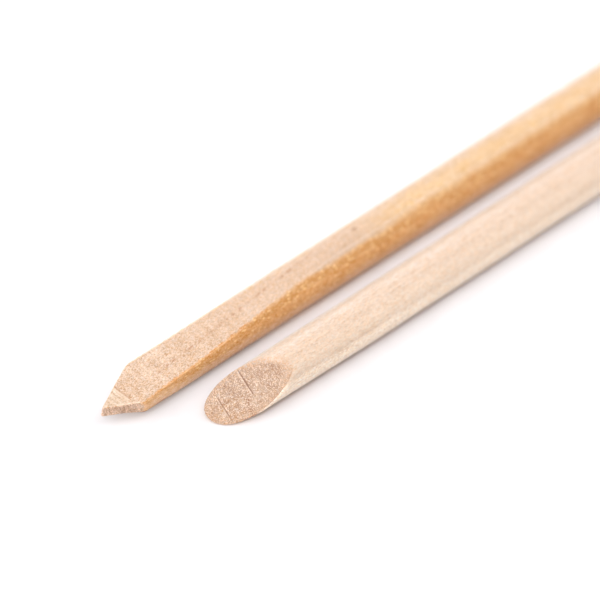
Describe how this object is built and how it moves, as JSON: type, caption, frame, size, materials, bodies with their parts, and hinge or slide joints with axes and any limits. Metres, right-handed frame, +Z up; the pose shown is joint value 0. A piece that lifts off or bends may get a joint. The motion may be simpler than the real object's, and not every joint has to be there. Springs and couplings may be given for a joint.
{
  "type": "cuticle pusher",
  "caption": "Slim round wooden manicure sticks side by side, turned end for end; each has a planed spear end and a slant-cut end for pushing back cuticles.",
  "frame": {"origin": "middle of the pair on the table plane, under the sticks", "axes": "+Y along the sticks, from the front spear point towards the back; +Z up from the table; +X towards the stick whose slant cut is in front"},
  "size_m": [0.0098, 0.1214, 0.004],
  "materials": {
    "amber_wood": "sanded, unvarnished, amber-toned straight grain with pale planed faces",
    "cream_wood": "sanded, unvarnished, cream-toned straight grain with a darker end-grain cut"
  },
  "bodies": {
    "spear_front_body": {"spear_front_stick": "amber_wood"},
    "slant_front_body": {"slant_front_stick": "cream_wood"}
  },
  "joints": [
    {"name": "pick_up_slant_front_stick", "type": "slide", "parent": "spear_front_body", "child": "slant_front_body", "axis": [0, 0, 1], "range_m": [0, 0.02]}
  ]
}
